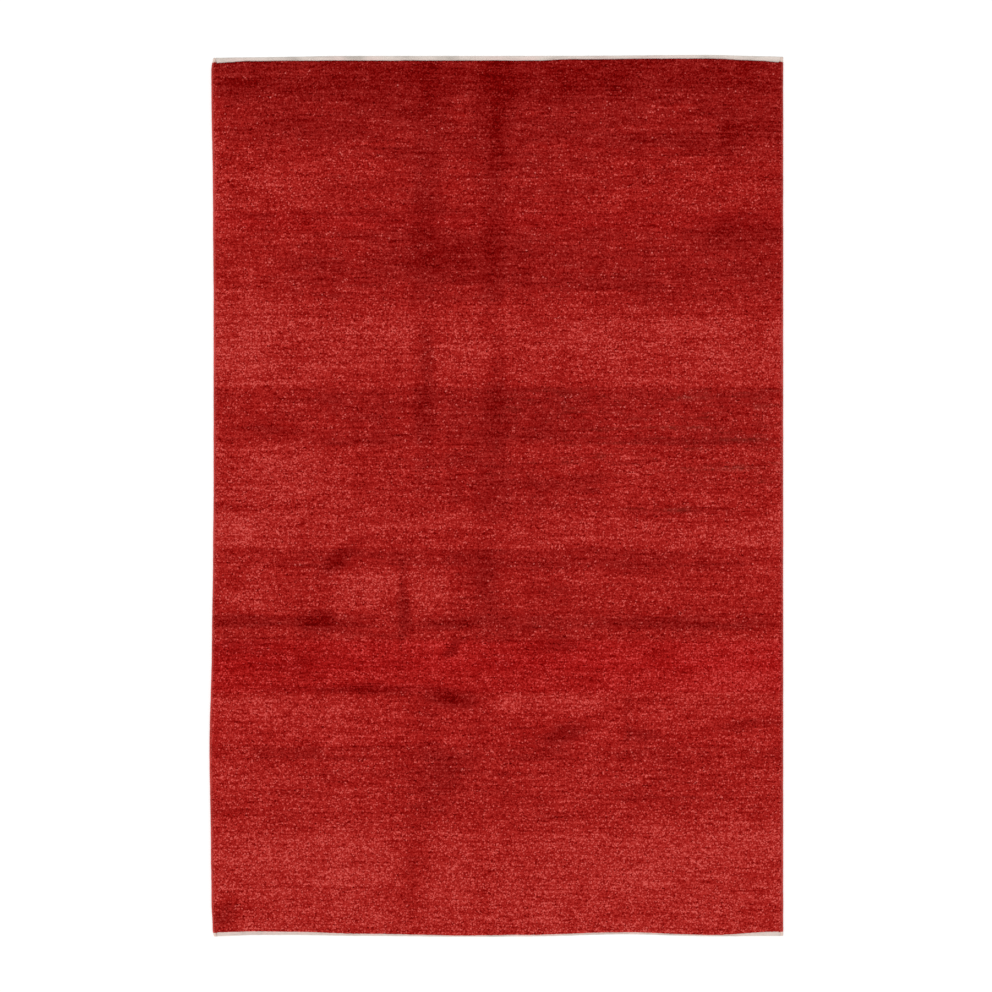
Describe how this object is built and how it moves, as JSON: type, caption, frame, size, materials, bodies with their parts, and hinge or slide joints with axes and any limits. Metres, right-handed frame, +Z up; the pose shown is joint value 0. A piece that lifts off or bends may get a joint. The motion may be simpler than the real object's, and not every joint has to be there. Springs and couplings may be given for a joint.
{
  "type": "gabbeh rug",
  "caption": "Plain red hand-knotted wool gabbeh rug lying flat, with banded dye-lot reds, pale flat-woven ends and overcast side cords.",
  "frame": {"origin": "middle of the rug's bounding box, on its underside where it rests on the floor", "axes": "+Z up out of the pile, +Y along the rug's length towards the end at the top of the picture, +X across its width"},
  "size_m": [1.97, 3.03, 0.0122],
  "materials": {
    "pile_wool": "cut wool pile in madder reds, soft nap with a slight sheen, streaked in rows",
    "ground_weave": "undyed wool weft-faced plain weave, matte",
    "selvedge_wool": "overcast twisted wool yarn in orange red, matte"
  },
  "bodies": {
    "root": {"foundation": "ground_weave", "pile": "pile_wool", "selvedge_left": "selvedge_wool", "selvedge_right": "selvedge_wool"}
  },
  "joints": []
}
